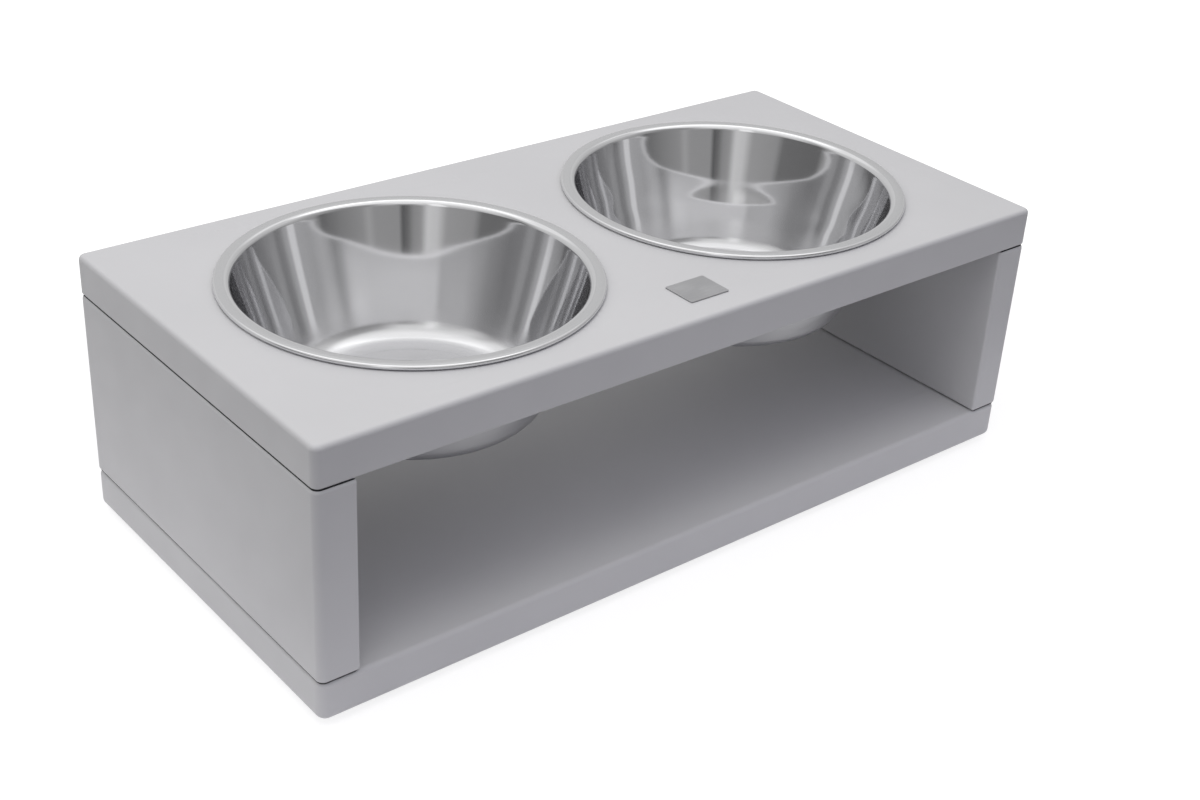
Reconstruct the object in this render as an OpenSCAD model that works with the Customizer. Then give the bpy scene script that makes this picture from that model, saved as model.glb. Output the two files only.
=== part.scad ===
// Raised feeder for a small dog: two drop-in steel bowls in a painted board stand.
// The space under the bowls is an open shelf that keeps food and toys.
// +X runs along the stand, -Y is the front and +Z is up; the origin is on the floor, under the middle.

/* [Stand] */
// Length of the stand, end to end
stand_l = 390; // [382:1:480]
// Depth of the stand, front to back
stand_w = 190; // [176:1:260]
// Thickness of the top and base boards
board_t = 18; // [16:0.5:22]
// Thickness of the two side boards
side_t = 18; // [16:0.5:20]
// Clear height of the shelf, between the base board and the top board
shelf_h = 87; // [76:1:200]

/* [Board edges] */
// Rounding of the boards' upright corners
corner_r = 3.5; // [2:0.25:5]
// Rounding of the top board's upper edge
top_edge_r = 2.4; // [1:0.1:3.5]
// Rounding of the side boards' and the base board's upper edges, under the fine groove at each joint
joint_edge_r = 2.2; // [0.5:0.1:3]
// Rounding of the base board's lower edge
base_edge_r = 3; // [1:0.25:5]
// Rounding of every other board edge
edge_r = 1.2; // [0.5:0.1:1.8]
// Chamfer on both ends of the bowl holes
hole_chamfer = 1; // [0.5:0.25:1.5]

/* [Bowls] */
// Distance between the centres of the two bowls
bowl_pitch = 181; // [172:1:184]
// Outside diameter of the rolled rim
rim_d = 162.5; // [148:0.5:168]
// Height of the rolled edge
bead_d = 2; // [1.9:0.1:3]
// Width of the crowned flange, from the rolled edge to the turn into the wall
flange_w = 3.8; // [3:0.1:7]
// Slope of the flange at its two sides, which gives its crown
flange_slope = 8; // [4:1:12]
// Depth of the bowl below the top board's face
bowl_depth = 57; // [45:1:64]
// Lean of the bowl's wall at its top, away from upright
wall_lean = 14; // [8:1:18]
// Radius of the wall's slight curve, at mid sheet
wall_r = 320; // [250:10:600]
// Radius between the floor and the wall, at mid sheet
floor_r = 11; // [6:0.5:14]
// Radius between the wall and the flange, at mid sheet
neck_r = 2.5; // [1.5:0.25:4]
// Width of the level border round the raised middle of the floor
floor_border = 6.4; // [3:0.2:20]
// Height of the raised middle of the floor
floor_step_h = 0.8; // [0.4:0.1:1.5]
// Thickness of the pressed sheet
sheet_t = 0.7; // [0.5:0.05:0.9]

/* [Dowels] */
// Dowels between the top board and each side board
dowel_count = 3; // [2:1:4]
// Diameter of a dowel
dowel_d = 8; // [6:0.5:9]
// Length of a dowel
dowel_l = 30; // [24:1:36]
// Length of a dowel's chamfers
dowel_chamfer = 1; // [0.5:0.25:1.5]

/* [Screws] */
// Screws up through the base board into each side board
screw_count = 3; // [2:1:4]
// Length of a screw, with its head
screw_l = 50; // [40:1:60]
// Diameter of the countersunk head
screw_head_d = 10; // [9:0.25:11]
// Diameter of the plain shoulder that fills the base board's hole
screw_shoulder_d = 7; // [6:0.25:7.5]
// Diameter of the screw's core in the side board
screw_core_d = 5; // [4:0.25:5.5]
// Hexagon socket, across its flats
socket_af = 4; // [3:0.5:5]

/* [Feet] */
// Diameter of a stick-on foot
foot_d = 16; // [10:1:20]
// Height of a foot
foot_h = 2.5; // [1.5:0.25:4]
// Distance of a foot's centre in from the two nearest board faces
foot_inset = 24; // [16:1:26]

/* [Trim plate] */
// Length of the thin metal plate on the top board
plate_l = 21; // [12:1:26]
// Depth of the plate
plate_w = 17; // [10:1:18]
// Thickness of the plate
plate_t = 0.6; // [0.4:0.1:1]
// Rounding of the plate's corners
plate_corner_r = 0.75; // [0.5:0.25:3]
// Distance of the plate's middle from the stand's middle, to the right
plate_x = 3; // [0:0.5:6]
// Distance of the plate's front edge from the stand's front
plate_front = 13; // [6:0.5:16]

/* [Hidden] */
$fn = 96;

// Overrun of every cut
cut = 1;
// Clearance around a dowel, a screw's shoulder and a screw's core
fit_gap = 0.05;
// Free length left at the blind end of each dowel and screw hole
end_gap = 1.5;
// Clearance of the top board's hole around the bowl's wall
bowl_gap = 2;
// Gap under the rolled edge, which keeps the two moving parts from rubbing
seat_gap = 0.3;
// How far the rolled edge curls round
bead_curl = 262;
// Turn of each short chord that makes up an arc of a section
arc_step = 7.5;
// Steepest slope of the step round the raised floor
step_slope = 30;
// Share of a dowel's length that is in the top board
dowel_top_share = 0.4;
// Share of the stand's depth between the outermost fasteners of a row
row_share = 0.7;
// Shares of the screw's length that its shoulder and its point take
shoulder_share = 0.26;
point_share = 0.06;
// Share of the screw head's height that the socket goes down past it
socket_depth_share = 1.6;
// Share of a foot's height that its lower edge is rounded by
foot_round_share = 0.4;
// Depth of a screw's head below the base board's underside
head_sink = 0.4;

// Heights of the boards' faces
base_z = foot_h;
side_z = base_z + board_t;
top_z = side_z + shelf_h;
deck_z = top_z + board_t;

// Middle of each side board, from the stand's middle, and the sign of each side
side_x = (stand_l - side_t) / 2;
function side(s) = 2 * s - 1;
function bowl_x(s) = side(s) * bowl_pitch / 2;

// Height of a screw's head, which narrows at 45 degrees to its shoulder
head_h = (screw_head_d - screw_shoulder_d) / 2;

// The bowl's section, at mid sheet, from its seat on the top board
wall_heading = 90 - wall_lean;
bead_r = (bead_d - sheet_t) / 2;
bead_centre = [rim_d / 2 - bead_d / 2, bead_d / 2 + seat_gap];
flange_end = bead_centre + on_turn(bead_r, -flange_slope);
flange_start = flange_end - [flange_w, 0];
neck_centre = flange_start - on_turn(neck_r, flange_slope);
wall_end = neck_centre + on_turn(neck_r, wall_heading);
wall_centre = wall_end + on_turn(wall_r, wall_heading);
floor_z = sheet_t / 2 - bowl_depth;
low_heading = acos((wall_centre[1] - floor_z - floor_r) / (wall_r - floor_r));
floor_flat = wall_centre[0] + (wall_r - floor_r) * sin(low_heading);

// The hole that the bowl drops into
wall_out_r = wall_end[0] + sheet_t / 2 / cos(wall_lean);
hole_r = wall_out_r + bowl_gap;

// Places along the depth of the stand for a row of fasteners
function row(count) = [for (i = [0 : count - 1]) stand_w * row_share * (i / (count - 1) - 0.5)];

// A point on a right-hand turn of radius r, seen from the turn's centre, where the path heads along angle a
function on_turn(r, a) = r * [-sin(a), cos(a)];

// Points and headings [x, z, a] along a turn from heading a to heading b
function turn_points(centre, r, a, b) =
    let (steps = ceil(abs(b - a) / arc_step), side = b < a ? 1 : -1)
    [for (i = [0 : steps])
        let (h = a + (b - a) * i / steps)
        [centre[0] - side * r * sin(h), centre[1] + side * r * cos(h), h]];

// A crowned strip keeps its own turn: its radius follows from its width and its slope
flange_r = flange_w / 2 / sin(flange_slope);
flange_centre = flange_start - on_turn(flange_r, flange_slope);

// The floor's step is two equal turns, one down from the raised middle and one back to level
step_at = floor_flat - floor_border;
step_r = floor_step_h / 2 / (1 - cos(step_slope));
step_in = [step_at - step_r * sin(step_slope), floor_z + floor_step_h - step_r];
step_out = [step_at + step_r * sin(step_slope), floor_z + step_r];

bowl_path = concat(
    [[0, floor_z + floor_step_h, 0]],
    turn_points(step_in, step_r, 0, -step_slope),
    turn_points(step_out, step_r, -step_slope, 0),
    turn_points([floor_flat, floor_z + floor_r], floor_r, 0, low_heading),
    turn_points(wall_centre, wall_r, low_heading, wall_heading),
    turn_points(neck_centre, neck_r, wall_heading, flange_slope),
    turn_points(flange_centre, flange_r, flange_slope, -flange_slope),
    turn_points(bead_centre, bead_r, -flange_slope, -flange_slope - bead_curl)
);

// One side of a sheet that is bent along a path
function skin(path, off) = [for (p = path) [p[0] - off * sin(p[2]), p[1] + off * cos(p[2])]];
function reversed(list) = [for (i = [len(list) - 1 : -1 : 0]) list[i]];

SIDE_NAMES = ["left", "right"];
DEPTH_NAMES = ["front", "rear"];
function dowel_name(s, i) = str(SIDE_NAMES[s], "_dowel_", i + 1);
function screw_name(s, i) = str(SIDE_NAMES[s], "_screw_", i + 1);
function foot_name(s, i) = str(DEPTH_NAMES[i], "_", SIDE_NAMES[s], "_foot");

// Outline from the floor line up, centred on its width, with its own radius at each corner:
// lower left, lower right, upper right and upper left
module outline(w, h, r) {
    polygon([
        [r[0] - w / 2, 0], [w / 2 - r[1], 0],
        [w / 2, r[1]], [w / 2, h - r[2]],
        [w / 2 - r[2], h], [r[3] - w / 2, h],
        [-w / 2, h - r[3]], [-w / 2, r[0]]
    ]);
    translate([r[0] - w / 2, r[0]]) circle(r = r[0]);
    translate([w / 2 - r[1], r[1]]) circle(r = r[1]);
    translate([w / 2 - r[2], h - r[2]]) circle(r = r[2]);
    translate([r[3] - w / 2, h - r[3]]) circle(r = r[3]);
}

// A board with every edge rounded: plan radii from the front left round to the rear left, then the
// radii of its lower and upper edges
module board(l, w, h, plan_r, low_r, high_r) {
    edge = [low_r, low_r, high_r, high_r];
    intersection() {
        translate([0, -w / 2, 0]) linear_extrude(h) outline(l, w, plan_r);
        rotate([90, 0, 0]) linear_extrude(w, center = true) outline(l, h, edge);
        rotate([90, 0, 90]) linear_extrude(l, center = true) outline(w, h, edge);
    }
}

// A blind hole for a dowel, from the joint face at height z, into the board on the side up
module dowel_hole(s, y, depth, up) {
    reach = depth + end_gap;
    translate([side(s) * side_x, y, up ? top_z - cut : top_z - reach])
        cylinder(h = reach + cut, d = dowel_d + 2 * fit_gap);
}

module bowl_hole(s) {
    wide_r = hole_r + hole_chamfer + cut;
    chamfer_h = hole_chamfer + cut;
    translate([bowl_x(s), 0, top_z - cut]) {
        cylinder(h = board_t + 2 * cut, r = hole_r);
        cylinder(h = chamfer_h, r1 = wide_r, r2 = hole_r);
        translate([0, 0, board_t + 2 * cut - chamfer_h]) cylinder(h = chamfer_h, r1 = hole_r, r2 = wide_r);
    }
}

// Hole through the base board for a screw, countersunk from below
module screw_hole(s, y) {
    translate([side(s) * side_x, y, base_z]) {
        translate([0, 0, -cut]) cylinder(h = board_t + 2 * cut, d = screw_shoulder_d + 2 * fit_gap);
        translate([0, 0, -cut]) cylinder(h = head_sink + cut, d = screw_head_d + 2 * fit_gap);
        translate([0, 0, head_sink])
            cylinder(h = head_h, d1 = screw_head_d + 2 * fit_gap, d2 = screw_shoulder_d + 2 * fit_gap);
    }
}

module screw_pilot(s, y) {
    translate([side(s) * side_x, y, side_z - cut])
        cylinder(h = screw_l + head_sink - board_t + end_gap + cut, d = screw_core_d + 2 * fit_gap);
}

module top_board() {
    color("#c9c9ca")
    difference() {
        translate([0, 0, top_z])
            board(stand_l, stand_w, board_t, [corner_r, corner_r, corner_r, corner_r], edge_r, top_edge_r);
        for (s = [0, 1]) bowl_hole(s);
        for (s = [0, 1]) for (y = row(dowel_count)) dowel_hole(s, y, dowel_l * dowel_top_share, true);
    }
}

module base_board() {
    color("#c9c9ca")
    difference() {
        translate([0, 0, base_z])
            board(stand_l, stand_w, board_t, [corner_r, corner_r, corner_r, corner_r], base_edge_r, joint_edge_r);
        for (s = [0, 1]) for (y = row(screw_count)) screw_hole(s, y);
    }
}

module side_board(s) {
    outer_left = s == 0;
    left_r = outer_left ? corner_r : edge_r;
    right_r = outer_left ? edge_r : corner_r;
    color("#c9c9ca")
    difference() {
        translate([side(s) * side_x, 0, side_z])
            board(side_t, stand_w, shelf_h, [left_r, right_r, right_r, left_r], edge_r, joint_edge_r);
        for (y = row(dowel_count)) dowel_hole(s, y, dowel_l * (1 - dowel_top_share), false);
        for (y = row(screw_count)) screw_pilot(s, y);
    }
}

// One pressed sheet from the raised floor to the end of the rolled edge
module bowl(s) {
    color("#b9bbbd")
    translate([bowl_x(s), 0, deck_z])
        rotate_extrude()
            polygon(concat(skin(bowl_path, -sheet_t / 2), reversed(skin(bowl_path, sheet_t / 2))));
}

module trim_plate() {
    r = plate_corner_r;
    color("#a3a4a6")
    translate([plate_x, plate_front - stand_w / 2, deck_z])
        linear_extrude(plate_t) outline(plate_l, plate_w, [r, r, r, r]);
}

module dowel(s, i) {
    r = dowel_d / 2;
    inner = r - dowel_chamfer;
    color("#d9b98a")
    translate([side(s) * side_x, row(dowel_count)[i], top_z - dowel_l * (1 - dowel_top_share)])
        rotate_extrude()
            polygon([
                [0, 0], [inner, 0], [r, dowel_chamfer],
                [r, dowel_l - dowel_chamfer], [inner, dowel_l], [0, dowel_l]
            ]);
}

module screw(s, i) {
    head_r = screw_head_d / 2;
    shoulder_r = screw_shoulder_d / 2;
    core_r = screw_core_d / 2;
    shoulder_z = screw_l * shoulder_share;
    point_z = screw_l * (1 - point_share);
    color("#9b9a96")
    translate([side(s) * side_x, row(screw_count)[i], base_z + head_sink])
    difference() {
        rotate_extrude()
            polygon([
                [0, 0], [head_r, 0], [shoulder_r, head_h],
                [shoulder_r, shoulder_z], [core_r, shoulder_z + shoulder_r - core_r],
                [core_r, point_z], [0, screw_l]
            ]);
        translate([0, 0, -cut])
            cylinder(h = head_h * socket_depth_share + cut, d = socket_af / cos(30), $fn = 6);
    }
}

// A stick-on foot with its lower edge rounded
module foot(s, i) {
    r = foot_h * foot_round_share;
    lower = turn_points([foot_d / 2 - r, r], r, 0, 90);
    color("#3a3a3c")
    translate([side(s) * (stand_l / 2 - foot_inset), (2 * i - 1) * (stand_w / 2 - foot_inset), 0])
        rotate_extrude()
            polygon(concat([[0, 0]], [for (p = lower) [p[0], p[1]]], [[foot_d / 2, foot_h], [0, foot_h]]));
}

top_board();
base_board();
side_board(0);  // left_side_board
side_board(1);  // right_side_board
bowl(0);  // left_bowl
bowl(1);  // right_bowl
trim_plate();
for (s = [0, 1]) {
    for (i = [0 : dowel_count - 1]) dowel(s, i);
    for (i = [0 : screw_count - 1]) screw(s, i);
    for (i = [0, 1]) foot(s, i);
}
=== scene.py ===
import bpy
import bmesh
import math
from mathutils import Matrix, Vector


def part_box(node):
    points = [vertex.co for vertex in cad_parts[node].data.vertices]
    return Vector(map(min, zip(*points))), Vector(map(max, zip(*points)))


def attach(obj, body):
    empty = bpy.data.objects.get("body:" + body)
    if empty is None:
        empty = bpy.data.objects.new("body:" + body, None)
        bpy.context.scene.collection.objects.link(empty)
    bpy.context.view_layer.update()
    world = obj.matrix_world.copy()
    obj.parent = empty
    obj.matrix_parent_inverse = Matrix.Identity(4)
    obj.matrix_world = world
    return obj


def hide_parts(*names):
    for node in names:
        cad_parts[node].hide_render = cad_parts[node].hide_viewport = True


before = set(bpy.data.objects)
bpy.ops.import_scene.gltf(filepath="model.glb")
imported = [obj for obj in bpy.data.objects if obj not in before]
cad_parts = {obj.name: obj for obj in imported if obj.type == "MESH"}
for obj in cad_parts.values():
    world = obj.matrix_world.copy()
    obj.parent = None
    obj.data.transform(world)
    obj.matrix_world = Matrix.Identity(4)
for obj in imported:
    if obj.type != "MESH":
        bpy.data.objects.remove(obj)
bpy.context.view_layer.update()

mm = 0.001
mergeDistance = 0.002 * mm
sharpAngle = math.radians(40)
collection = bpy.context.scene.collection
print("frame loaded:", len(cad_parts), "nodes")


# Small helpers for meshes

def newObject(name, mesh):
    made = bpy.data.objects.new(name, mesh)
    collection.objects.link(made)
    return made


def meshFrom(bm, name):
    bmesh.ops.remove_doubles(bm, verts=bm.verts, dist=mergeDistance)
    bmesh.ops.recalc_face_normals(bm, faces=bm.faces)
    mesh = bpy.data.meshes.new(name)
    bm.to_mesh(mesh)
    bm.free()
    mesh.shade_smooth()
    return mesh


def joinRings(bm, rings):
    for lower, upper in zip(rings, rings[1:]):
        count = len(lower)
        for i in range(count):
            j = (i + 1) % count
            bm.faces.new((lower[i], lower[j], upper[j], upper[i]))


def edgesOf(ring):
    pairs = zip(ring, ring[1:] + ring[:1])
    return [next(e for e in a.link_edges if e.other_vert(a) is b) for a, b in pairs]


def keepFlats(piece):
    weighted = piece.modifiers.new("keepFlats", "WEIGHTED_NORMAL")  # large flat faces keep their own normals
    weighted.weight = 100
    weighted.keep_sharp = True


def bakeModifiers(piece):
    graph = bpy.context.evaluated_depsgraph_get()
    baked = bpy.data.meshes.new_from_object(piece.evaluated_get(graph), depsgraph=graph)
    piece.modifiers.clear()
    piece.data = baked


def finishPiece(piece, body, slot, *nodes):
    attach(piece, body)
    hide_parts(*nodes)


# Small helpers for materials

def newMaterial(name, **sockets):
    material = bpy.data.materials.new(name)
    material.use_nodes = True
    shader = material.node_tree.nodes["Principled BSDF"]
    for socket, value in sockets.items():
        shader.inputs[socket.replace("_", " ")].default_value = value
    return material, material.node_tree, shader


def addNode(tree, kind, settings=None, **links):
    node = tree.nodes.new(kind)
    for key, value in (settings or {}).items():
        if hasattr(node, key):
            setattr(node, key, value)
        else:
            node.inputs[key].default_value = value
    for key, source in links.items():
        tree.links.new(source, node.inputs[key.replace("_", " ")])
    return node


def rampBetween(tree, source, low, high, fromLow=0.0, fromHigh=1.0):
    settings = {"From Min": fromLow, "From Max": fromHigh, "To Min": low, "To Max": high}
    return addNode(tree, "ShaderNodeMapRange", settings, Value=source).outputs["Result"]


def mixColours(tree, factor, first, second):
    mix = addNode(tree, "ShaderNodeMix", {"data_type": "RGBA"})
    mix.inputs[6].default_value = (*first, 1)
    mix.inputs[7].default_value = (*second, 1)
    tree.links.new(factor, mix.inputs[0])
    return mix.outputs[2]


def noise(tree, vector, scale, detail=2.0, roughness=0.5):
    settings = {"Scale": scale, "Detail": detail, "Roughness": roughness}
    return addNode(tree, "ShaderNodeTexNoise", settings, Vector=vector).outputs["Fac"]


def bump(tree, height, strength, distance, normal=None):
    links = {"Height": height}
    if normal:
        links["Normal"] = normal
    settings = {"Strength": strength, "Distance": distance}
    return addNode(tree, "ShaderNodeBump", settings, **links).outputs["Normal"]


# Camera, at the photograph's viewing angle

cameraView = {
    "place": (-466.8 * mm, -563.3 * mm, 453.4 * mm),
    "azimuth": -40.62,
    "elevation": 29.51,
    "roll": -3.44,
    "lens": 53.93,
    "sensor": 36.0,
    "clipStart": 10 * mm,
}


def makeCamera():
    azimuth = math.radians(cameraView["azimuth"])
    elevation = math.radians(cameraView["elevation"])
    roll = math.radians(cameraView["roll"])
    back = Vector((
        math.sin(azimuth) * math.cos(elevation),
        -math.cos(azimuth) * math.cos(elevation),
        math.sin(elevation),
    ))
    right = (-back).cross(Vector((0, 0, 1))).normalized()
    down = (-back).cross(right)
    imageRight = math.cos(roll) * right + math.sin(roll) * down
    imageUp = math.sin(roll) * right - math.cos(roll) * down
    turn = Matrix((imageRight, imageUp, back)).transposed().to_4x4()
    data = bpy.data.cameras.new("photoCamera")
    data.lens = cameraView["lens"]
    data.sensor_width = cameraView["sensor"]
    data.clip_start = cameraView["clipStart"]
    camera = newObject("photoCamera", data)
    camera.matrix_world = Matrix.Translation(cameraView["place"]) @ turn
    bpy.context.scene.camera = camera


makeCamera()
print("camera placed")


# Painted boards: a plan outline drawn in along a quarter round at the lower and upper edges

boardSettings = {
    "cornerRadius": 3.5 * mm,
    "edgeRadius": 1.2 * mm,
    "topEdgeRadius": 2.2 * mm,
    "jointEdgeRadius": 2.2 * mm,
    "sideLowerRadius": 2.0 * mm,
    "baseCornerRadius": 4.5 * mm,
    "baseEdgeRadius": 3.4 * mm,
    "lowGroove": 1.1 * mm,
    "highGroove": 0.7 * mm,
    "grooveDepth": 0.5 * mm,
    "lowVee": 0.4 * mm,
    "highVee": 0.3 * mm,
    "innerStrip": 3 * mm,
    "leastCorner": 0.02 * mm,
    "cornerSteps": 10,
    "edgeSteps": 7,
    "holeRadius": 76.82 * mm,
    "holeChamfer": 1.0 * mm,
    "holeSteps": 128,
    "headHole": 5.05 * mm,
    "shankHole": 3.55 * mm,
    "headMouth": 0.4 * mm,
    "screwHoleSteps": 48,
}


def boardCorners(low, high, radii):
    # centre, first angle and radius of each plan corner, from the front left round to the rear left
    places = ((low.x, low.y, 1, 1, 180), (high.x, low.y, -1, 1, 270))
    places += ((high.x, high.y, -1, -1, 0), (low.x, high.y, 1, -1, 90))
    for (x, y, inX, inY, angle), radius in zip(places, radii):
        yield Vector((x + inX * radius, y + inY * radius)), math.radians(angle), radius


def boardRing(bm, low, high, radii, inset, z, steps=boardSettings["cornerSteps"]):
    ring = []
    for centre, start, radius in boardCorners(low, high, radii):
        middle = start + math.pi / 4
        push = max(0, inset - radius) * math.sqrt(2)  # past its own radius a corner only moves in
        for i in range(steps + 1):
            angle = start + math.pi / 2 * i / steps
            reach = max(radius - inset, boardSettings["leastCorner"])
            ring.append(bm.verts.new((
                centre.x + reach * math.cos(angle) - push * math.cos(middle),
                centre.y + reach * math.sin(angle) - push * math.sin(middle),
                z,
            )))
    return ring


def quarterRound(radius, cut=0):
    # inset and rise of each step from the flat to the upright face, which a shadow gap can cut into
    steps = boardSettings["edgeSteps"]
    first = math.acos(1 - cut / radius)
    turns = [first + (math.pi / 2 - first) * i / steps for i in range(steps + 1)]
    profile = [(radius * (1 - math.sin(turn)), radius * (1 - math.cos(turn))) for turn in turns]
    if cut:
        inner = profile[0][0] + boardSettings["grooveDepth"]
        profile[:0] = [(inner, 0), (inner, cut)]
    return profile


def shapeJoints(bm, rings, inner, lowRadius, highRadius):
    # the shadow gaps get a near-black painted shadow where they show from outside, and inside the shelf each
    # joint is a plain V
    s = boardSettings
    bm.faces.ensure_lookup_table()
    count = 2 * len(rings[0])
    for face in [*bm.faces[:count], *bm.faces[-count:]]:
        face.material_index = int(abs(face.calc_center_median().x - inner) > s["innerStrip"])
    side = math.copysign(1, inner)
    for at, inset in ((0, lowRadius), (1, s["lowVee"]), (-2, s["highVee"]), (-1, highRadius)):
        for vert in rings[at]:
            if abs(vert.co.x - inner) < s["innerStrip"]:
                vert.co.x = inner + side * inset


def makeBoard(name, node, radii, lowRadius, highRadius, holes=(), holeShape=None, grooved=False):
    low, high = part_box(node)
    bm = bmesh.new()
    lowCut = boardSettings["lowGroove"] if grooved else 0
    highCut = boardSettings["highGroove"] if grooved else 0
    levels = [(inset, low.z + rise) for inset, rise in quarterRound(lowRadius, lowCut)]
    levels += [(inset, high.z - rise) for inset, rise in reversed(quarterRound(highRadius, highCut))]
    rings = [boardRing(bm, low, high, radii, inset, z) for inset, z in levels]
    joinRings(bm, rings)
    if grooved:
        shapeJoints(bm, rings, min(low.x, high.x, key=abs), lowRadius, highRadius)
    lowEdges = edgesOf(rings[0])
    highEdges = edgesOf(rings[-1])
    for hole in holes:
        holeRings = makeHole(bm, hole, *holeShape(low.z, high.z))
        lowEdges += edgesOf(holeRings[0])
        highEdges += edgesOf(holeRings[-1])
    bmesh.ops.triangle_fill(bm, use_beauty=True, edges=lowEdges)
    bmesh.ops.triangle_fill(bm, use_beauty=True, edges=highEdges)
    board = newObject(name, meshFrom(bm, name))
    board.data.materials.append(boardLacquer)
    # grooved boards also take the near-black painted shadow for their shadow gaps
    if grooved:
        board.data.materials.append(paintedJointShadow)
    keepFlats(board)
    finishPiece(board, "stand", "board_lacquer", node)


def bowlHole(lowZ, highZ):
    radius = boardSettings["holeRadius"]
    chamfer = boardSettings["holeChamfer"]
    levels = (
        (radius + chamfer, lowZ),
        (radius, lowZ + chamfer),
        (radius, highZ - chamfer),
        (radius + chamfer, highZ),
    )
    return levels, boardSettings["holeSteps"]


def screwHole(lowZ, highZ):
    # a short mouth and a countersink for the head, then a straight hole for the shank
    head = boardSettings["headHole"]
    shank = boardSettings["shankHole"]
    mouth = lowZ + boardSettings["headMouth"]
    levels = ((head, lowZ), (head, mouth), (shank, mouth + head - shank), (shank, highZ))
    return levels, boardSettings["screwHoleSteps"]


def makeHole(bm, centre, levels, count):
    rings = []
    for reach, z in levels:
        turns = [2 * math.pi * i / count for i in range(count)]
        rings.append([
            bm.verts.new((centre.x + reach * math.cos(t), centre.y + reach * math.sin(t), z))
            for t in turns
        ])
    joinRings(bm, rings)
    return rings


def makeLacquer():
    material, tree, shader = newMaterial("boardLacquer", Roughness=0.5, IOR=1.46)
    place = addNode(tree, "ShaderNodeTexCoord").outputs["Object"]
    mottle = rampBetween(tree, noise(tree, place, 14, 3), 0, 1, 0.3, 0.7)
    colour = mixColours(tree, mottle, (0.590, 0.590, 0.591), (0.612, 0.612, 0.613))
    tree.links.new(colour, shader.inputs["Base Color"])
    sheen = rampBetween(tree, noise(tree, place, 60, 3), 0.44, 0.54, 0.3, 0.7)
    tree.links.new(sheen, shader.inputs["Roughness"])
    peel = noise(tree, place, 900, 2)
    wave = noise(tree, place, 90, 1)
    normal = bump(tree, wave, 0.25, 0.05 * mm)
    normal = bump(tree, peel, 0.3, 0.02 * mm, normal)
    tree.links.new(normal, shader.inputs["Normal"])
    return material


# near-black painted shadow for the shadow gaps between the boards
def makePaintedJointShadow():
    material, tree, shader = newMaterial("paintedJointShadow", Roughness=0.9)
    place = addNode(tree, "ShaderNodeTexCoord").outputs["Object"]
    dark = mixColours(tree, noise(tree, place, 400, 2), (0.03, 0.03, 0.03), (0.06, 0.06, 0.06))
    tree.links.new(dark, shader.inputs["Base Color"])
    return material


boardLacquer = makeLacquer()
paintedJointShadow = makePaintedJointShadow()  # painted shadow: a near-black colour in the shadow gaps stands in for the shade inside the joints
corner = boardSettings["cornerRadius"]
edge = boardSettings["edgeRadius"]
topEdge = boardSettings["topEdgeRadius"]
jointEdge = boardSettings["jointEdgeRadius"]
sideLower = boardSettings["sideLowerRadius"]
baseEdge = boardSettings["baseEdgeRadius"]
baseCorners = [boardSettings["baseCornerRadius"]] * 4
leftCorners = [corner, edge, edge, corner]
rightCorners = [edge, corner, corner, edge]


def middleOf(node):
    low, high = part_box(node)
    return (Vector(low) + Vector(high)) / 2


holeCentres = [middleOf(node) for node in ("left_bowl", "right_bowl")]
screwNodes = [f"{side}_screw_{i}" for side in ("left", "right") for i in (1, 2, 3)]
screwCentres = [middleOf(node) for node in screwNodes]
makeBoard("topBoard", "top_board", [corner] * 4, edge, topEdge, holeCentres, bowlHole)
makeBoard("baseBoard", "base_board", baseCorners, baseEdge, jointEdge, screwCentres, screwHole)
makeBoard("leftSideBoard", "left_side_board", leftCorners, sideLower, jointEdge, grooved=True)
makeBoard("rightSideBoard", "right_side_board", rightCorners, sideLower, jointEdge, grooved=True)
print("boards made")


# Pressed steel bowls: one sheet, bent along its section and turned round its axis

bowlSettings = {
    "sheet": 0.7 * mm,
    "bead": 2.0 * mm,
    "beadCurl": 262.0,
    "flangeWidth": 3.8 * mm,
    "flangeSlope": 8.0,
    "neckRadius": 2.5 * mm,
    "neckShare": 0.8,
    "floorRadii": {"left_bowl": 11.0 * mm, "right_bowl": 8.0 * mm},
    "floorBorder": 6.4 * mm,
    "stepHeight": 0.8 * mm,
    "stepSlope": 30.0,
    "arcStep": 5.0,
    "roundSteps": 160,
    "wallRows": 44,
    "satinFloor": 0.16,
    "satinEnds": (20 * mm, 30 * mm),
    "uvPerMetre": 10,
    "closePoints": 0.01 * mm,
}

# Lean of each bowl's wall by depth under its neck, in mm and degrees; the drawing leaves faint rings
wallLeans = {
    "left_bowl": (
        (0, 14.4), (4, 15.4), (8, 16.0), (16, 16.5), (21, 17.0), (26, 17.4), (32, 17.9), (38, 18.6),
        (45, 20.5),
    ),
    "right_bowl": (
        (0, 12.9), (4, 14.4), (8, 15.6), (12, 16.5), (16, 16.9), (20, 16.7), (24.5, 16.5), (27, 17.2),
        (30, 18.5), (32, 19.2), (33.5, 19.2), (35, 18.8), (40, 18.8), (45, 20.5),
    ),
}


def turnPoints(centre, radius, start, end):
    # x, z and heading along a turn; a falling heading turns right
    steps = math.ceil(abs(end - start) / bowlSettings["arcStep"])
    side = 1 if end < start else -1
    points = []
    for i in range(steps + 1):
        heading = math.radians(start + (end - start) * i / steps)
        points.append((
            centre[0] - side * radius * math.sin(heading),
            centre[1] + side * radius * math.cos(heading),
            heading,
        ))
    return points


def onTurn(radius, heading):
    turned = math.radians(heading)
    return Vector((-math.sin(turned), math.cos(turned))) * radius


def leanAt(leans, depth):
    for (upper, first), (lower, second) in zip(leans, leans[1:]):
        if depth <= lower * mm:
            return first + (second - first) * (depth / mm - upper) / (lower - upper)
    return leans[-1][1]


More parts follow.
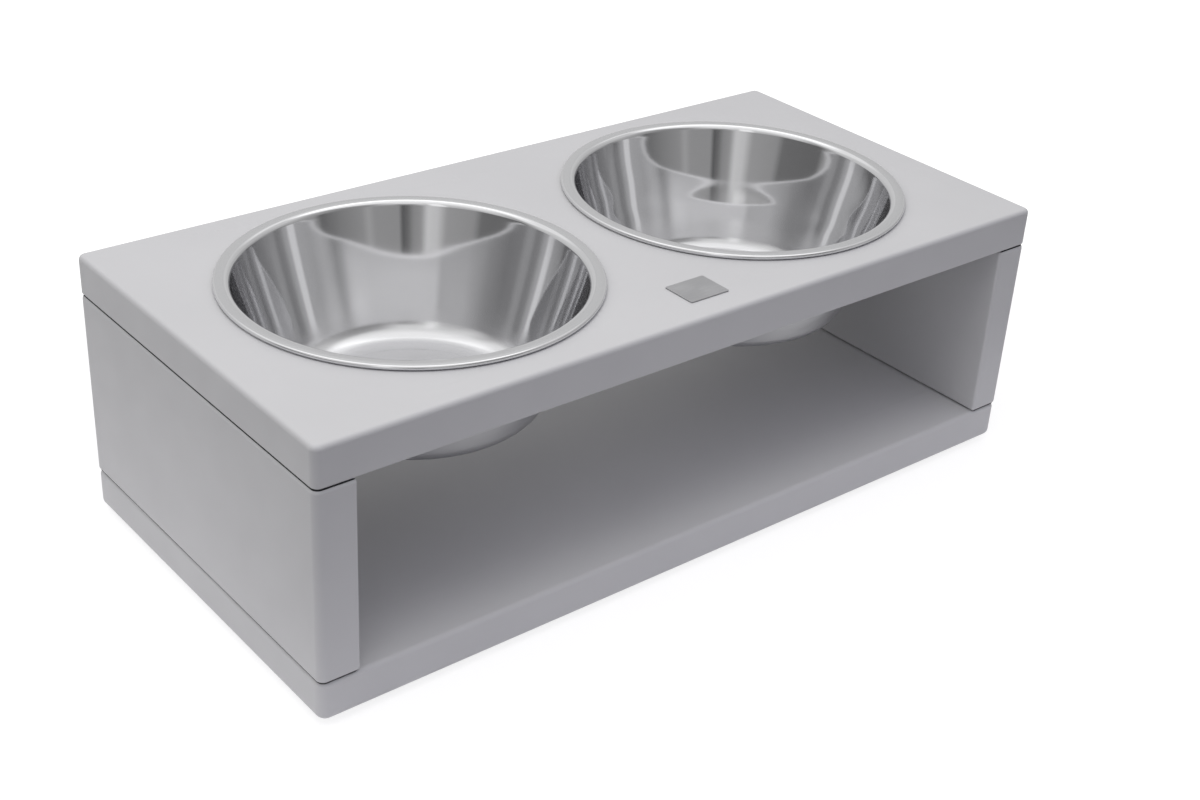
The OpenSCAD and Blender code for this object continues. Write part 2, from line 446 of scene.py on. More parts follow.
def wallPoints(leans, top, lowZ):
    # from the floor's rounding up to the neck
    rows = bowlSettings["wallRows"]
    step = (top.y - lowZ) / rows
    x = top.x
    points = [(x, top.y, math.radians(90 - leanAt(leans, 0)))]
    for row in range(1, rows + 1):
        x -= step * math.tan(math.radians(leanAt(leans, step * (row - 0.5))))
        points.append((x, top.y - step * row, math.radians(90 - leanAt(leans, step * row))))
    return points[::-1]


def bowlPath(node, rimRadius, floorZ, rimZ):
    s = bowlSettings
    leans = wallLeans[node]
    floorRadius = s["floorRadii"][node]
    slope = s["flangeSlope"]
    wallHeading = 90 - leans[0][1]
    beadRadius = (s["bead"] - s["sheet"]) / 2
    flangeRadius = s["flangeWidth"] / 2 / math.sin(math.radians(slope))
    crown = flangeRadius * (1 - math.cos(math.radians(slope)))
    beadTop = beadRadius * math.cos(math.radians(slope))
    beadCentre = Vector((rimRadius - s["bead"] / 2, rimZ - s["sheet"] / 2 - crown - beadTop))
    flangeEnd = beadCentre + onTurn(beadRadius, -slope)
    flangeStart = flangeEnd - Vector((s["flangeWidth"], 0))
    flangeCentre = flangeStart - onTurn(flangeRadius, slope)
    neckCentre = flangeStart - onTurn(s["neckRadius"], slope)
    wallEnd = neckCentre + onTurn(s["neckRadius"], wallHeading)
    floorLine = floorZ + s["sheet"] / 2
    lowHeading = 90 - leans[-1][1]
    wall = wallPoints(leans, wallEnd, floorLine + floorRadius * (1 - math.cos(math.radians(lowHeading))))
    floorCentre = (wall[0][0] - floorRadius * math.sin(wall[0][2]), floorLine + floorRadius)
    stepTurn = s["stepHeight"] / 2 / (1 - math.cos(math.radians(s["stepSlope"])))
    stepRun = stepTurn * math.sin(math.radians(s["stepSlope"]))
    stepAt = floorCentre[0] - s["floorBorder"]
    stepIn = (stepAt - stepRun, floorLine + s["stepHeight"] - stepTurn)
    stepOut = (stepAt + stepRun, floorLine + stepTurn)
    parts = (
        turnPoints(stepIn, stepTurn, 0, -s["stepSlope"]),
        turnPoints(stepOut, stepTurn, -s["stepSlope"], 0),
        turnPoints(floorCentre, floorRadius, 0, lowHeading),
        wall,
        turnPoints(neckCentre, s["neckRadius"], wallHeading, slope),
        turnPoints(flangeCentre, flangeRadius, slope, -slope),
        turnPoints(beadCentre, beadRadius, -slope, -slope - s["beadCurl"]),
    )
    path = []
    for part in parts:
        for point in part:
            if not path or math.dist(point[:2], path[-1][:2]) > s["closePoints"]:
                path.append(point)
    return path


def bowlSkin(path, offset):
    return [(x - offset * math.sin(a), z + offset * math.cos(a)) for x, z, a in path]


def makeBowl(name, node, body):
    low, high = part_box(node)
    centre = middleOf(node)
    path = bowlPath(node, (high.x - low.x) / 2, low.z, high.z)
    half = bowlSettings["sheet"] / 2
    upper = bowlSkin(path, half)
    under = bowlSkin(path, -half)
    count = bowlSettings["roundSteps"]
    lengths = [0.0]
    for (x0, z0), (x1, z1) in zip(upper, upper[1:]):
        lengths.append(lengths[-1] + math.hypot(x1 - x0, z1 - z0))
    bm = bmesh.new()
    uvLayer = bm.loops.layers.uv.new("around")

    def ring(point):
        turns = [2 * math.pi * i / count for i in range(count)]
        return [
            bm.verts.new((centre.x + point[0] * math.cos(t), centre.y + point[0] * math.sin(t), point[1]))
            for t in turns
        ]

    beadStart = (high.x - low.x) / 2 - bowlSettings["bead"] / 2
    flangeStart = beadStart - bowlSettings["flangeWidth"]
    neckStart = flangeStart - bowlSettings["neckRadius"] * bowlSettings["neckShare"]
    starts = (neckStart, flangeStart, beadStart)
    firstPast = [next(i for i, point in enumerate(path) if point[0] > x) for x in starts]
    # materials of the wall, the neck, the flange and the rolled edge; the rest is underneath. The neck,
    # flange and underside steels differ in colour by painted highlight and painted shade
    zones = list(zip(firstPast + [len(path) + 1], (0, 1, 2, 1)))
    perMetre = bowlSettings["uvPerMetre"]
    outline = upper + under[::-1]
    along = lengths + lengths[::-1]
    rings = [ring(point) for point in outline]
    for k, (inner, outer) in enumerate(zip(rings, rings[1:])):
        for i in range(count):
            j = (i + 1) % count
            face = bm.faces.new((inner[i], inner[j], outer[j], outer[i]))
            uvs = ((i, k), (i + 1, k), (i + 1, k + 1), (i, k + 1))
            for loop, (u, v) in zip(face.loops, uvs):
                loop[uvLayer].uv = (u / count, along[v] * perMetre)
            face.material_index = next((index for end, index in zones if k < end), 3)
    for at, index in ((0, 0), (-1, 3)):  # the floor's middle, inside and underneath
        hub = bm.verts.new((centre.x, centre.y, outline[at][1]))
        for i in range(count):
            j = (i + 1) % count
            face = bm.faces.new((rings[at][i], rings[at][j], hub))
            face.material_index = index
            for loop, (u, v) in zip(face.loops, ((i, along[at]), (i + 1, along[at]), (i + 0.5, 0))):
                loop[uvLayer].uv = (u / count, v * perMetre)
    bowl = newObject(name, meshFrom(bm, name))
    for material in (steelPolished, steelEdgeHighlit, steelRimShaded, steelUnderShaded):
        bowl.data.materials.append(material)
    keepFlats(bowl)
    finishPiece(bowl, body, "bowl_steel", node)


def makeSteel(name, colour, roughLow, roughHigh, lineStrength, anisotropic, waveDepth=0.0, satin=0.0):
    # the polishing runs round the bowl, so it blurs up and down
    polish = {"Metallic": 0.94, "Anisotropic": anisotropic, "Anisotropic_Rotation": 0.25}
    material, tree, shader = newMaterial(name, **polish)
    shader.inputs["Base Color"].default_value = (*colour, 1)
    around = addNode(tree, "ShaderNodeUVMap", {"uv_map": "around"}).outputs["UV"]
    lines = addNode(tree, "ShaderNodeMapping", {"Scale": (6, 900, 1)}, Vector=around).outputs["Vector"]
    streaks = noise(tree, lines, 1.0, 4, 0.6)
    rough = rampBetween(tree, streaks, roughLow, roughHigh, 0.3, 0.7)
    # the floor is left satin, and the polish begins on the turn up to the wall
    along = addNode(tree, "ShaderNodeSeparateXYZ", Vector=around).outputs["Y"]
    start, end = (bowlSettings["uvPerMetre"] * at for at in bowlSettings["satinEnds"])
    duller = addNode(tree, "ShaderNodeMath", {"operation": "ADD"})
    tree.links.new(rough, duller.inputs[0])
    tree.links.new(rampBetween(tree, along, satin, 0.0, start, end), duller.inputs[1])
    tree.links.new(duller.outputs["Value"], shader.inputs["Roughness"])
    # the pressing leaves slow waves down the wall, longer round it
    place = addNode(tree, "ShaderNodeTexCoord").outputs["Object"]
    slow = addNode(tree, "ShaderNodeMapping", {"Scale": waveScale, "Location": waveShift}, Vector=place)
    waves = bump(tree, noise(tree, slow.outputs["Vector"], 1.0, 1), 1.0, waveDepth)
    tree.links.new(bump(tree, streaks, lineStrength, 0.01 * mm, waves), shader.inputs["Normal"])
    tangent = addNode(tree, "ShaderNodeTangent", {"direction_type": "UV_MAP", "uv_map": "around"})
    tree.links.new(tangent.outputs["Tangent"], shader.inputs["Tangent"])
    return material


waveScale = (9, 9, 40)
waveShift = (0.3, 0.0, 0.0)
satinFloor = bowlSettings["satinFloor"]
steelPolished = makeSteel("steelPolished", (0.70, 0.70, 0.71), 0.035, 0.05, 0.02, 0.65, 0.08 * mm, satinFloor)
# a shade lighter than the wall's steel: a painted highlight on the neck and the rolled edge; their low
# roughness is the real polish
steelEdgeHighlit = makeSteel("steelEdgeHighlit", (0.72, 0.72, 0.73), 0.04, 0.06, 0.06, 0.3)
# darker than the wall's steel: painted shade on the flange, whose rougher satin finish is real
steelRimShaded = makeSteel("steelRimShaded", (0.64, 0.64, 0.65), 0.18, 0.26, 0.3, 0.3)
# much darker than the wall's steel: painted shade on the underside under the top board, whose satin finish is
# real
steelUnderShaded = makeSteel("steelUnderShaded", (0.54, 0.54, 0.55), 0.34, 0.44, 0.3, 0.3)
makeBowl("leftBowl", "left_bowl", "left_bowl")
makeBowl("rightBowl", "right_bowl", "right_bowl")
print("bowls made")


# Thin plain plate on the top board

plateSettings = {"cornerRadius": 0.75 * mm, "edge": 0.15 * mm, "edgeSteps": 3, "cornerSteps": 6}


def makePlate():
    low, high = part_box("trim_plate")
    bm = bmesh.new()
    radii = [plateSettings["cornerRadius"]] * 4
    soft = plateSettings["edge"]
    steps = plateSettings["edgeSteps"]
    levels = [(0, low.z)]
    for i in range(steps + 1):
        turn = math.pi / 2 * i / steps
        levels.append((soft * (1 - math.cos(turn)), high.z - soft * (1 - math.sin(turn))))
    rings = [boardRing(bm, low, high, radii, inset, z, plateSettings["cornerSteps"]) for inset, z in levels]
    joinRings(bm, rings)
    bm.faces.new(rings[0])
    bm.faces.new(rings[-1])
    plate = newObject("trimPlate", meshFrom(bm, "trimPlate"))
    plate.data.materials.append(makePlateMetal())
    keepFlats(plate)
    finishPiece(plate, "stand", "plate_metal", "trim_plate")


def makePlateMetal():
    material, tree, shader = newMaterial("plateMetal", Metallic=1.0, Anisotropic=0.3)
    place = addNode(tree, "ShaderNodeTexCoord").outputs["Object"]
    lines = addNode(tree, "ShaderNodeMapping", {"Scale": (120, 5000, 120)}, Vector=place).outputs["Vector"]
    brush = noise(tree, lines, 1.0, 3, 0.6)
    share = rampBetween(tree, brush, 0, 1, 0.3, 0.7)
    colour = mixColours(tree, share, (0.40, 0.40, 0.41), (0.50, 0.50, 0.51))
    tree.links.new(colour, shader.inputs["Base Color"])
    tree.links.new(rampBetween(tree, brush, 0.36, 0.5, 0.3, 0.7), shader.inputs["Roughness"])
    tree.links.new(bump(tree, brush, 0.4, 0.01 * mm), shader.inputs["Normal"])
    return material


makePlate()
print("plate made")


# Fasteners and feet: one master mesh each, repeated at the frame's own places

def turnedMesh(bm, section, count, wobble=None):
    # section is a list of radius and height from the axis out and back to it
    rings = []
    for radius, z in section:
        ring = []
        for i in range(count):
            turn = 2 * math.pi * i / count
            reach = radius + (wobble(turn, radius, z) if wobble else 0)
            ring.append(bm.verts.new((reach * math.cos(turn), reach * math.sin(turn), z)))
        rings.append(ring)
    joinRings(bm, rings)
    bm.faces.new(rings[0])
    bm.faces.new(rings[-1])


def repeatTree(name, material):
    tree = bpy.data.node_groups.new(name, "GeometryNodeTree")
    sockets = (
        ("Piece", "NodeSocketObject"),
        ("Across", "NodeSocketInt"),
        ("Deep", "NodeSocketInt"),
        ("Spread X", "NodeSocketFloat"),
        ("Spread Y", "NodeSocketFloat"),
        ("Height", "NodeSocketFloat"),
    )
    for label, kind in sockets:
        tree.interface.new_socket(label, in_out="INPUT", socket_type=kind)
    tree.interface.new_socket("Geometry", in_out="OUTPUT", socket_type="NodeSocketGeometry")
    given = tree.nodes.new("NodeGroupInput").outputs
    grid = tree.nodes.new("GeometryNodeMeshGrid")
    for socket, label in (("Vertices X", "Across"), ("Vertices Y", "Deep"), ("Size X", "Spread X"),
                          ("Size Y", "Spread Y")):
        tree.links.new(given[label], grid.inputs[socket])
    lift = tree.nodes.new("ShaderNodeCombineXYZ")
    tree.links.new(given["Height"], lift.inputs["Z"])
    lifted = tree.nodes.new("GeometryNodeSetPosition")
    tree.links.new(grid.outputs["Mesh"], lifted.inputs["Geometry"])
    tree.links.new(lift.outputs["Vector"], lifted.inputs["Offset"])
    info = tree.nodes.new("GeometryNodeObjectInfo")
    info.inputs["As Instance"].default_value = True
    tree.links.new(given["Piece"], info.inputs["Object"])
    placed = tree.nodes.new("GeometryNodeInstanceOnPoints")
    tree.links.new(lifted.outputs["Geometry"], placed.inputs["Points"])
    tree.links.new(info.outputs["Geometry"], placed.inputs["Instance"])
    real = tree.nodes.new("GeometryNodeRealizeInstances")
    tree.links.new(placed.outputs["Instances"], real.inputs["Geometry"])
    painted = tree.nodes.new("GeometryNodeSetMaterial")
    painted.inputs["Material"].default_value = material
    tree.links.new(real.outputs["Geometry"], painted.inputs["Geometry"])
    out = tree.nodes.new("NodeGroupOutput")
    tree.links.new(painted.outputs["Geometry"], out.inputs["Geometry"])
    return tree


def repeatPiece(name, bm, material, slot, nodes, across, deep):
    master = newObject(name + "Master", meshFrom(bm, name + "Master"))
    lows = [Vector(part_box(node)[0]) for node in nodes]
    middles = [middleOf(node) for node in nodes]
    spreadX = max(m.x for m in middles) - min(m.x for m in middles)
    spreadY = max(m.y for m in middles) - min(m.y for m in middles)
    made = newObject(name, bpy.data.meshes.new(name))
    modifier = made.modifiers.new(name, "NODES")
    modifier.node_group = repeatTree(name, material)
    values = {"Piece": master, "Across": across, "Deep": deep, "Spread X": spreadX, "Spread Y": spreadY,
              "Height": lows[0].z}
    for item in modifier.node_group.interface.items_tree:
        if item.in_out == "INPUT":
            modifier[item.identifier] = values[item.name]
    bakeModifiers(made)
    bpy.data.objects.remove(master)
    made.data.shade_smooth()
    made.data.set_sharp_from_angle(angle=sharpAngle)
    finishPiece(made, "stand", slot, *nodes)


footSettings = {
    "hub": 1.0 * mm,
    "round": 1.0 * mm,
    "roundSteps": 6,
    "ribs": 3,
    "ribDepth": 0.25 * mm,
    "ribWidth": 1.0 * mm,
    "ribSlope": 0.3 * mm,
    "firstRib": 2.0 * mm,
    "ribMargin": 3.0 * mm,
    "topEdge": 0.2 * mm,
    "count": 64,
}


def makeFeet():
    s = footSettings
    nodes = [f"{deep}_{side}_foot" for side in ("left", "right") for deep in ("front", "rear")]
    low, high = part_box(nodes[0])
    radius = (high.x - low.x) / 2
    height = high.z - low.z
    section = [(s["hub"], 0)]
    pitch = (radius - s["ribMargin"]) / s["ribs"]
    for k in range(s["ribs"]):  # shallow grip rings in the sole
        start = s["firstRib"] + pitch * k
        end = start + s["ribWidth"]
        section += [(start, 0), (start + s["ribSlope"], s["ribDepth"])]
        section += [(end - s["ribSlope"], s["ribDepth"]), (end, 0)]
    for i in range(s["roundSteps"] + 1):
        turn = math.pi / 2 * i / s["roundSteps"]
        reach = radius - s["round"] * (1 - math.sin(turn))
        section.append((reach, s["round"] * (1 - math.cos(turn))))
    section += [(radius, height - s["topEdge"]), (radius - s["topEdge"], height), (s["hub"], height)]
    bm = bmesh.new()
    turnedMesh(bm, section, s["count"])
    repeatPiece("feet", bm, makeRubber(), "foot_rubber", nodes, 2, 2)


screwSettings = {
    "pitch": 3.0 * mm,
    "threadDepth": 1.0 * mm,
    "ridgeShare": 0.22,
    "runOut": 1.5 * mm,
    "stepsPerTurn": 10,
    "coreRadius": 2.5 * mm,
    "headDepth": 1.5 * mm,
    "headRim": 0.12 * mm,
    "softEdge": 0.15 * mm,
    "shoulderLength": 13 * mm,
    "shoulderTaper": 1.0 * mm,
    "pointLength": 3 * mm,
    "tipLength": 0.8 * mm,
    "tipShare": 0.6,
    "tipRadius": 0.2 * mm,
    "socketRadius": 2.31 * mm,
    "socketDepth": 2.4 * mm,
    "close": 0.01 * mm,
    "count": 48,
}


def makeScrews():
    s = screwSettings
    low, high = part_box(screwNodes[0])
    headRadius = (high.x - low.x) / 2
    length = high.z - low.z
    shoulder = headRadius - s["headDepth"]
    socket, soft, core = s["socketRadius"], s["softEdge"], s["coreRadius"]
    start = s["shoulderLength"] + s["runOut"]
    threadLength = length - s["shoulderLength"] - 2 * s["runOut"] - s["pointLength"]
    rows = int(threadLength / s["pitch"] * s["stepsPerTurn"])
    section = [(socket, s["socketDepth"]), (socket, soft), (socket + soft, 0)]
    section += [(headRadius - soft, 0), (headRadius, s["headRim"]), (shoulder, s["headDepth"])]
    section += [(shoulder, s["shoulderLength"]), (core, s["shoulderLength"] + s["shoulderTaper"])]
    section += [(core, start + threadLength * i / rows) for i in range(rows + 1)]
    section += [(core * s["tipShare"], length - s["tipLength"]), (s["tipRadius"], length)]

    def sixSidesAndThread(turn, radius, z):
        if radius <= socket + s["close"] and z < s["socketDepth"] + s["close"]:
            sixth = (turn % (math.pi / 3)) - math.pi / 6
            return radius * (math.cos(math.pi / 6) / math.cos(sixth) - 1)
        if not start <= z <= start + threadLength:
            return 0
        phase = (z / s["pitch"] - turn / (2 * math.pi)) % 1
        ridge = max(0, 1 - abs(phase - 0.5) / s["ridgeShare"])
        ends = min(1, (z - start) / s["pitch"], (start + threadLength - z) / s["pitch"])
        return s["threadDepth"] * ridge * ends

    bm = bmesh.new()
    turnedMesh(bm, section, s["count"], sixSidesAndThread)
    repeatPiece("screws", bm, makeZinc(), "screw_zinc", screwNodes, 2, 3)


dowelSettings = {
    "hub": 0.5 * mm,
    "chamfer": 1.0 * mm,
    "flutes": 22,
    "fluteDepth": 0.2 * mm,
    "stepsPerFlute": 6,
}


def makeDowels():
    s = dowelSettings
    nodes = [f"{side}_dowel_{i}" for side in ("left", "right") for i in (1, 2, 3)]
    low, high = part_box(nodes[0])
    radius = (high.x - low.x) / 2
    length = high.z - low.z
    cut = s["chamfer"]
    section = [(s["hub"], 0), (radius - cut, 0), (radius, cut)]
    section += [(radius, length - cut), (radius - cut, length), (s["hub"], length)]

    def flutes(turn, reach, z):
        return -s["fluteDepth"] * (0.5 - 0.5 * math.cos(turn * s["flutes"])) if reach > radius - cut else 0

    bm = bmesh.new()
    turnedMesh(bm, section, s["flutes"] * s["stepsPerFlute"], flutes)
    repeatPiece("dowels", bm, makeBeech(), "beech", nodes, 2, 3)


def makeRubber():
    material, tree, shader = newMaterial("footRubber", Roughness=0.7)
    place = addNode(tree, "ShaderNodeTexCoord").outputs["Object"]
    grain = noise(tree, place, 1500, 3)
    share = rampBetween(tree, noise(tree, place, 80), 0, 1)
    colour = mixColours(tree, share, (0.045, 0.045, 0.047), (0.07, 0.07, 0.072))
    tree.links.new(colour, shader.inputs["Base Color"])
    tree.links.new(rampBetween(tree, grain, 0.62, 0.78), shader.inputs["Roughness"])
    tree.links.new(bump(tree, grain, 0.5, 0.03 * mm), shader.inputs["Normal"])
    return material


def makeZinc():
    material, tree, shader = newMaterial("screwZinc", Metallic=1.0)
    place = addNode(tree, "ShaderNodeTexCoord").outputs["Object"]
    cloud = noise(tree, place, 220, 3)
    share = rampBetween(tree, cloud, 0, 1, 0.3, 0.7)
    colour = mixColours(tree, share, (0.55, 0.55, 0.53), (0.66, 0.66, 0.66))
    tree.links.new(colour, shader.inputs["Base Color"])
    tree.links.new(rampBetween(tree, cloud, 0.24, 0.38, 0.3, 0.7), shader.inputs["Roughness"])
    tree.links.new(bump(tree, noise(tree, place, 2500), 0.2, 0.01 * mm), shader.inputs["Normal"])
    return material


def makeBeech():
    material, tree, shader = newMaterial("beech", Roughness=0.6)
    place = addNode(tree, "ShaderNodeTexCoord").outputs["Object"]
    along = addNode(tree, "ShaderNodeMapping", {"Scale": (1400, 1400, 90)}, Vector=place).outputs["Vector"]
    grain = noise(tree, along, 1.0, 3, 0.6)
    share = rampBetween(tree, grain, 0, 1, 0.3, 0.7)
    colour = mixColours(tree, share, (0.52, 0.34, 0.19), (0.68, 0.49, 0.31))
    tree.links.new(colour, shader.inputs["Base Color"])
    tree.links.new(bump(tree, grain, 0.4, 0.03 * mm), shader.inputs["Normal"])
    return material


makeFeet()
makeScrews()
makeDowels()
print("feet, screws and dowels made")


# Studio: a white floor and backdrop, one large lamp above, and grey walls that only the metal sees

studioSettings = {
    "floorHalf": 3.0,
    "floorColour": (0.885, 0.88, 0.895),
    # the floor's colour fades from floorColour to the dark far colour outside this ellipse: a painted pool of
    # light
    "paintedPoolRadii": (0.32, 0.23),
    "paintedPoolEdge": 1.35,
    "farFloorPaintedDark": (0.12, 0.12, 0.12),
    "shadowShare": 0.32,
    "floorWhite": 1.2,
    "lampPlace": (-0.32, -0.12, 1.1),
    "lampAim": (0, 0, 0.08),
    "lampSize": 0.7,
    "lampPower": 3.7,
    "wallColour": (0.995, 0.985, 0.985),
    "frontColour": (0.94, 0.93, 1.10),
    "frontReach": 0.8,
    "overheadLight": 0.77,
    "ceiling": 1.2,
}

# Soft light on the boards, straight at the stand's right end, front, left end and rear
sideLights = (0.80, 0.31, 0.95, 0.85)
lightHeights = ((0.12, 0.32), (0.5, 0.75))

# What the metal sees: place round the horizon and brightness, at four heights under the ceiling. 0 and 1 are
# straight beyond the stand, 0.25 is to the camera's right and 0.5 is behind the camera.
lowStops = (
    (0.00, 0.66), (0.10, 0.50), (0.15, 0.44), (0.20, 0.36), (0.225, 0.24), (0.25, 0.42), (0.30, 0.36),
    (0.315, 0.14), (0.35, 0.24), (0.39, 0.32), (0.403, 0.42), (0.415, 0.34), (0.458, 0.33), (0.464, 0.10),
    (0.474, 0.16), (0.484, 0.30), (0.498, 0.36), (0.51, 0.72), (0.528, 0.66), (0.545, 0.38), (0.595, 0.33),
    (0.61, 0.16), (0.69, 0.13), (0.71, 0.40), (0.73, 0.56), (0.77, 0.64), (1.00, 0.66),
)
middleStops = (
    (0.00, 0.72), (0.05, 0.66), (0.12, 0.60), (0.19, 0.58), (0.25, 0.50), (0.29, 0.38), (0.32, 0.32),
    (0.355, 0.26), (0.40, 0.30), (0.425, 0.46), (0.445, 0.44), (0.46, 0.30), (0.48, 0.34), (0.50, 0.58),
    (0.511, 0.64), (0.52, 1.10), (0.541, 1.10), (0.55, 0.64), (0.60, 0.57), (0.64, 0.68), (0.66, 0.62),
    (0.69, 0.40), (0.71, 0.50), (0.74, 0.74), (1.00, 0.72),
)
highStops = (
    (0.00, 1.00), (0.075, 0.98), (0.10, 0.70), (0.14, 0.72), (0.20, 0.72), (0.24, 0.58), (0.29, 0.40),
    (0.32, 0.35), (0.37, 0.38), (0.40, 0.48), (0.425, 0.72), (0.445, 0.88), (0.50, 0.90), (0.511, 0.80),
    (0.52, 1.15), (0.541, 1.15), (0.55, 0.80), (0.585, 0.74), (0.63, 0.88), (0.66, 0.86), (0.69, 0.64),
    (0.705, 0.64), (0.735, 1.00), (0.76, 1.08), (0.82, 0.98), (1.00, 1.00),
)
upperStops = (
    (0.00, 2.00), (0.12, 1.60), (0.25, 1.10), (0.50, 0.90), (0.75, 1.10), (0.88, 1.60), (1.00, 2.00),
)
ringHeights = ((0.21, 0.34), (0.54, 0.66), (0.78, 0.86), (0.92, 0.97))


def makeFloor():
    half = studioSettings["floorHalf"]
    corners = [(-half, -half, 0), (half, -half, 0), (half, half, 0), (-half, half, 0)]
    mesh = bpy.data.meshes.new("floor")
    mesh.from_pydata(corners, [], [(0, 1, 2, 3)])
    floor = newObject("floor", mesh)
    floor.data.materials.append(makeFloorMaterial())


def makeFloorMaterial():
    # a painted pool of light: the floor's colour is pale near the stand and dark further out, so its bounce
    # light falls off, while the camera and the metal see it white with its shadow
    s = studioSettings
    material, tree, shader = newMaterial("paleFloor", Roughness=0.9)
    shader.inputs["Specular IOR Level"].default_value = 0.0
    place = addNode(tree, "ShaderNodeTexCoord").outputs["Object"]
    across = (1 / s["paintedPoolRadii"][0], 1 / s["paintedPoolRadii"][1], 1)
    scaled = addNode(tree, "ShaderNodeMapping", {"Scale": across}, Vector=place).outputs["Vector"]
    away = addNode(tree, "ShaderNodeVectorMath", {"operation": "LENGTH"}, Vector=scaled).outputs["Value"]
    edge = rampBetween(tree, away, 0, 1, 1.0, s["paintedPoolEdge"])
    tree.links.new(mixColours(tree, edge, s["floorColour"], s["farFloorPaintedDark"]), shader.inputs["Base Color"])
    rays = addNode(tree, "ShaderNodeLightPath").outputs
    seen = addNode(tree, "ShaderNodeMath", {"operation": "MAXIMUM"})
    tree.links.new(rays["Is Camera Ray"], seen.inputs[0])
    tree.links.new(rays["Is Glossy Ray"], seen.inputs[1])
    white = addNode(tree, "ShaderNodeEmission", {"Color": (1, 1, 1, 1), "Strength": s["floorWhite"]})
    clear = addNode(tree, "ShaderNodeMapRange", {"To Min": 1 - s["shadowShare"], "To Max": 1.0}, Value=edge)
    share = addNode(tree, "ShaderNodeMath", {"operation": "MULTIPLY"})
    tree.links.new(clear.outputs["Result"], share.inputs[0])
    tree.links.new(seen.outputs["Value"], share.inputs[1])
    mix = addNode(tree, "ShaderNodeMixShader")
    tree.links.new(share.outputs["Value"], mix.inputs["Fac"])
    tree.links.new(shader.outputs["BSDF"], mix.inputs[1])
    tree.links.new(white.outputs["Emission"], mix.inputs[2])
    tree.links.new(mix.outputs["Shader"], tree.nodes["Material Output"].inputs["Surface"])
    return material


def makeLamp(name, place, size, power):
    data = bpy.data.lights.new(name, "AREA")
    data.shape = "SQUARE"
    data.size = size
    data.energy = power
    lamp = newObject(name, data)
    aim = (Vector(studioSettings["lampAim"]) - Vector(place)).to_track_quat("-Z", "Y")
    lamp.matrix_world = Matrix.Translation(place) @ aim.to_matrix().to_4x4()
    lamp.visible_glossy = False  # the world's bright ceiling stands in for it in the metal


def dotWith(tree, vector, axis):
    node = addNode(tree, "ShaderNodeVectorMath", {"operation": "DOT_PRODUCT"})
    tree.links.new(vector, node.inputs[0])
    node.inputs[1].default_value = axis
    return node.outputs["Value"]


def greyMix(tree, factor, first, second):
    mix = addNode(tree, "ShaderNodeMix", {"data_type": "FLOAT"})
    for socket, value in ((0, factor), (2, first), (3, second)):
        if isinstance(value, (int, float)):
            mix.inputs[socket].default_value = value
        else:
            tree.links.new(value, mix.inputs[socket])
    return mix.outputs[0]


def levelsAround(tree, place, levels):
    ramp = addNode(tree, "ShaderNodeValToRGB", Fac=place)
    stops = ramp.color_ramp.elements
    for at, level in levels[1:-1]:
        stops.new(at).color = (level, level, level, 1)
    for stop, (at, level) in ((stops[0], levels[0]), (stops[len(stops) - 1], levels[-1])):
        stop.position = at
        stop.color = (level, level, level, 1)
    return ramp.outputs["Color"]


def lightsAround(lights):
    # stops round the horizon for the four sides of the stand, joined up straight beyond it
    firstSide = (90 + cameraView["azimuth"]) / 360
    seam = lights[3] + (lights[0] - lights[3]) * (0.25 - firstSide) / 0.25
    sides = [(firstSide + 0.25 * i, light) for i, light in enumerate(lights)]
    return [(0.0, seam), *sides, (1.0, seam)]


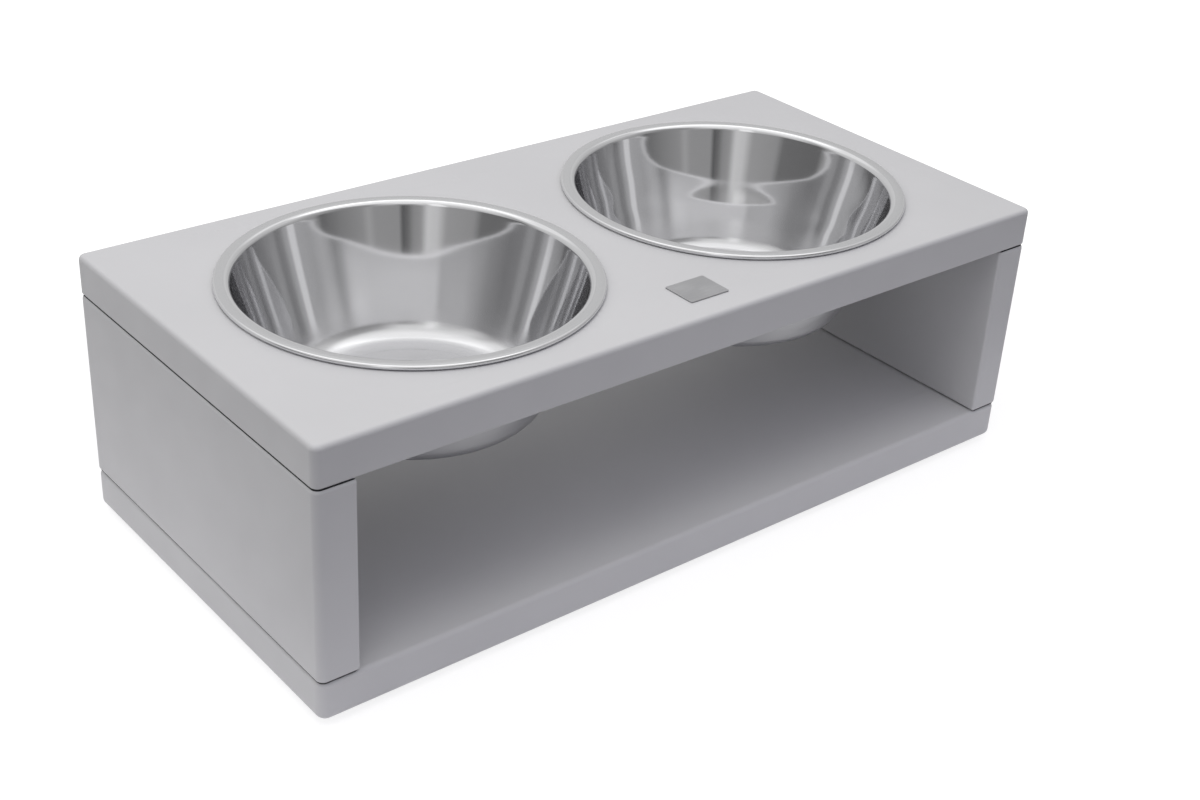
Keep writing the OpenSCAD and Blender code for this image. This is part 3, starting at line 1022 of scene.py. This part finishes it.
def makeRings(tree, rings, heights):
    # brightness by direction: stops round the horizon at each height, or one brightness all round
    azimuth = math.radians(cameraView["azimuth"])
    beyond = (-math.sin(azimuth), math.cos(azimuth), 0)
    aside = (math.cos(azimuth), math.sin(azimuth), 0)
    way = addNode(tree, "ShaderNodeTexCoord").outputs["Generated"]
    turn = addNode(tree, "ShaderNodeMath", {"operation": "ARCTAN2"})
    tree.links.new(dotWith(tree, way, aside), turn.inputs[0])
    tree.links.new(dotWith(tree, way, beyond), turn.inputs[1])
    around = addNode(tree, "ShaderNodeMath", {"operation": "MULTIPLY_ADD"})
    tree.links.new(turn.outputs["Value"], around.inputs[0])
    around.inputs[1].default_value = 0.5 / math.pi
    around.inputs[2].default_value = 1.0
    wrapped = addNode(tree, "ShaderNodeMath", {"operation": "FRACT"})
    tree.links.new(around.outputs["Value"], wrapped.inputs[0])
    place = wrapped.outputs["Value"]
    height = dotWith(tree, way, (0, 0, 1))
    levels = [ring if isinstance(ring, float) else levelsAround(tree, place, ring) for ring in rings]
    level = levels[0]
    for upper, (start, end) in zip(levels[1:], heights):
        level = greyMix(tree, rampBetween(tree, height, 0, 1, start, end), level, upper)
    return level


def makeWorld():
    world = bpy.data.worlds.new("studio")
    bpy.context.scene.world = world
    world.use_nodes = True
    tree = world.node_tree
    plain = tree.nodes["Background"]
    way = addNode(tree, "ShaderNodeTexCoord").outputs["Generated"]
    fromFront = rampBetween(tree, dotWith(tree, way, (0, -1, 0)), 0, 1, 0.0, studioSettings["frontReach"])
    tint = mixColours(tree, fromFront, studioSettings["wallColour"], studioSettings["frontColour"])
    tree.links.new(tint, plain.inputs["Color"])
    soft = (0.0, lightsAround(sideLights), studioSettings["overheadLight"])
    tree.links.new(makeRings(tree, soft, lightHeights), plain.inputs["Strength"])
    surround = addNode(tree, "ShaderNodeBackground", {"Color": (1, 1, 1, 1)})
    sharp = (lowStops, middleStops, highStops, upperStops, studioSettings["ceiling"])
    tree.links.new(makeRings(tree, sharp, ringHeights), surround.inputs["Strength"])
    clear = addNode(tree, "ShaderNodeBackground", {"Color": (1, 1, 1, 1), "Strength": 1.0})
    rays = addNode(tree, "ShaderNodeLightPath").outputs
    shader = plain.outputs["Background"]
    for ray, other in (("Is Glossy Ray", surround), ("Is Camera Ray", clear)):
        mix = addNode(tree, "ShaderNodeMixShader")
        tree.links.new(rays[ray], mix.inputs["Fac"])
        tree.links.new(shader, mix.inputs[1])
        tree.links.new(other.outputs["Background"], mix.inputs[2])
        shader = mix.outputs["Shader"]
    tree.links.new(shader, tree.nodes["World Output"].inputs["Surface"])


makeFloor()
makeLamp("keyLamp", studioSettings["lampPlace"], studioSettings["lampSize"], studioSettings["lampPower"])
makeWorld()
bpy.context.scene.view_settings.view_transform = "Standard"
print("studio lit")
